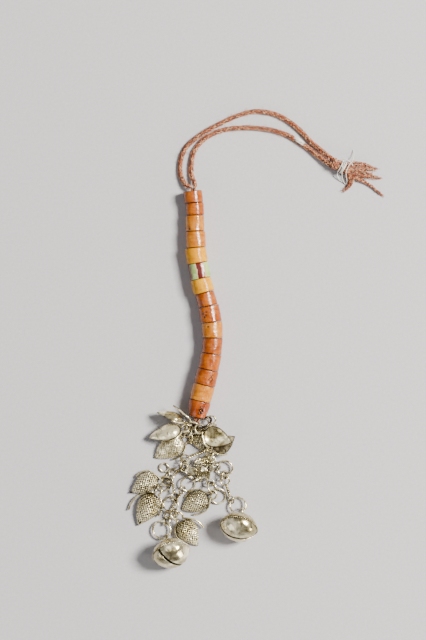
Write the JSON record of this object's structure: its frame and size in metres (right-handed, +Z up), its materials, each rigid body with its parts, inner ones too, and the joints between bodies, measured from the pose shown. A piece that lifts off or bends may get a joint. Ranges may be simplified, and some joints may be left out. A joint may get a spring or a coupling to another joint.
{
  "type": "beaded pendant with leaves and bells",
  "caption": "Pendant of cylindrical glass beads on a doubled braided cord with a tassel, a cluster of hollow metal leaves, rings and twisted links, and round slit bells.",
  "frame": {"origin": "on the surface that the pendant lies on, under the middle of the beads and metal pieces", "axes": "+Y from the bells along the beads towards the cord, +Z up from the surface"},
  "size_m": [0.1018, 0.1834, 0.0138],
  "materials": {
    "bead_orange": "glossy, nearly opaque orange glass",
    "bead_light": "glossy, nearly opaque light orange glass",
    "bead_yellow": "glossy, nearly opaque yellow glass",
    "bead_green": "glossy pale green glass with dark red stripes",
    "bead_deep": "glossy, nearly opaque deep orange glass with dark marks",
    "bead_brown": "glossy, nearly opaque brownish orange glass",
    "cord": "braided salmon-orange cord, frayed at the tassel",
    "thread": "matt white thread",
    "dark_wire": "blackened wire",
    "wire": "tarnished, pale yellowish silver-coloured wire",
    "twisted_wire": "tarnished, pale yellowish silver-coloured twisted wire",
    "leaf": "stamped, tarnished, pale yellowish silver-coloured sheet",
    "bell": "worn, tarnished, pale yellowish silver-coloured sheet",
    "filigree": "tarnished filigree wire and sheet",
    "pellet": "dull metal ball"
  },
  "bodies": {
    "root": {"bead_1": "bead_brown", "bead_2": "bead_orange", "bead_3": "bead_light", "bead_4": "bead_light", "bead_5": "bead_yellow", "bead_6": "bead_green", "bead_7": "bead_yellow", "bead_8": "bead_orange", "bead_9": "bead_orange", "bead_10": "bead_light", "bead_11": "bead_brown", "bead_12": "bead_orange", "bead_13": "bead_deep", "bead_14": "bead_light", "bead_15": "bead_deep", "drawn_cord": "cord", "outer_strand": "cord", "inner_strand": "cord", "tassel": "cord", "binding_thread": "thread", "dark_ring": "dark_wire", "top_ring": "wire", "oval_ring": "wire", "wing_ring": "wire", "lobe_ring": "wire", "spread_ring": "wire", "upper_ring": "wire", "side_ring": "wire", "wide_ring": "wire", "low_ring": "wire", "mid_ring": "wire", "small_ring": "wire", "corner_ring": "wire", "drop_ring": "wire", "edge_ring": "wire", "round_ring": "wire", "saddle_ring": "wire", "bell_ring": "wire", "hidden_link": "twisted_wire", "long_link": "twisted_wire", "upright_link": "twisted_wire", "forked_link": "twisted_wire", "lower_link": "twisted_wire", "short_link": "twisted_wire", "leaf_1": "leaf", "leaf_2": "leaf", "leaf_3": "leaf", "leaf_4": "leaf", "leaf_5": "leaf", "leaf_6": "leaf", "leaf_7": "leaf", "leaf_8": "leaf", "leaf_9": "leaf", "leaf_10": "leaf", "left_bell": "bell", "right_bell": "bell", "left_pellet": "pellet", "right_pellet": "pellet", "plaque": "filigree"}
  },
  "joints": []
}
